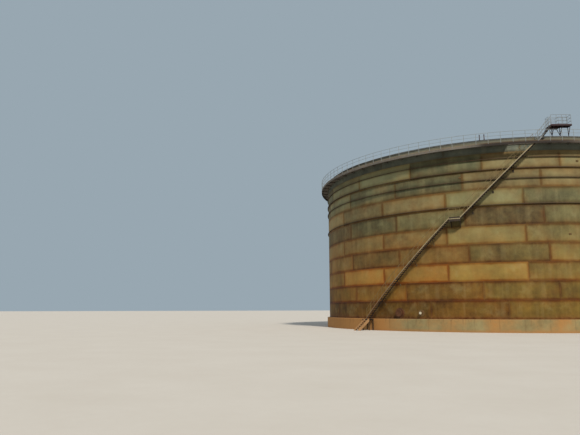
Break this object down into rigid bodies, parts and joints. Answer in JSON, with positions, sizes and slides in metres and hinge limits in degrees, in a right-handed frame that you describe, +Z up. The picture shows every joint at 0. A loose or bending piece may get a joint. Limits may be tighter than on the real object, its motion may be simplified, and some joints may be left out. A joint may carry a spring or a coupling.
{
  "type": "vertical storage tank scale model, 1:2",
  "caption": "Open-topped round steel storage tank on a concrete ring wall, with spiral stair, stiffening rings, railed wind girder, gauging platform and floating roof, at 1:2 scale.",
  "frame": {"origin": "centre of the underside of the foundation, on the tank's axis", "axes": "+Z up along the tank's axis; -Y is the side that the gauging platform and the head of the stair face; +X is to the right of a viewer who stands in front of them"},
  "size_m": [24, 24, 11.45],
  "materials": {
    "shell_plate": "bare rolled plate with rust-stained welds",
    "ring_steel": "dark rusted steel",
    "girder_steel": "dark rusted steel",
    "railing_steel": "weathered bare pipe",
    "stair_steel": "weathered pale grey-brown steel",
    "platform_steel": "dark purple-brown rusted steel",
    "fitting_steel": "dark red-brown rusted steel",
    "white_cover": "white temporary cover",
    "ring_wall_concrete": "cast concrete with dust and rust stains",
    "sand_fill": "compacted sand",
    "bottom_steel": "rusted plate",
    "roof_steel": "bare rusted plate with lap welds",
    "rim_seal": "black foam-filled fabric seal"
  },
  "bodies": {
    "root": {"shell_segment_01": "shell_plate", "shell_segment_02": "shell_plate", "shell_segment_03": "shell_plate", "shell_segment_04": "shell_plate", "shell_segment_05": "shell_plate", "shell_segment_06": "shell_plate", "shell_segment_07": "shell_plate", "shell_segment_08": "shell_plate", "shell_segment_09": "shell_plate", "shell_segment_10": "shell_plate", "stiffening_ring_1": "ring_steel", "stiffening_ring_2": "ring_steel", "stiffening_ring_3": "ring_steel", "stiffening_ring_4": "ring_steel", "curb_angle": "ring_steel", "wind_girder_1": "girder_steel", "wind_girder_2": "girder_steel", "wind_girder_3": "girder_steel", "wind_girder_4": "girder_steel", "wind_girder_5": "girder_steel", "walkway_railing_1": "railing_steel", "walkway_railing_2": "railing_steel", "walkway_railing_3": "railing_steel", "walkway_railing_4": "railing_steel", "walkway_railing_5": "railing_steel", "stair_handrail": "railing_steel", "platform_railing": "railing_steel", "stair_lower_flight": "stair_steel", "stair_upper_flight": "stair_steel", "stair_landing": "stair_steel", "stair_foot": "stair_steel", "platform_deck": "platform_steel", "platform_frame": "platform_steel", "platform_stair": "platform_steel", "manhole_neck": "fitting_steel", "manhole_cover": "fitting_steel", "nozzle_neck": "fitting_steel", "nozzle_cover": "white_cover", "ring_wall": "ring_wall_concrete", "foundation_fill": "sand_fill", "bottom_plate": "bottom_steel", "roof_pontoon": "roof_steel", "roof_deck": "roof_steel", "roof_rim_seal": "rim_seal"}
  },
  "joints": []
}
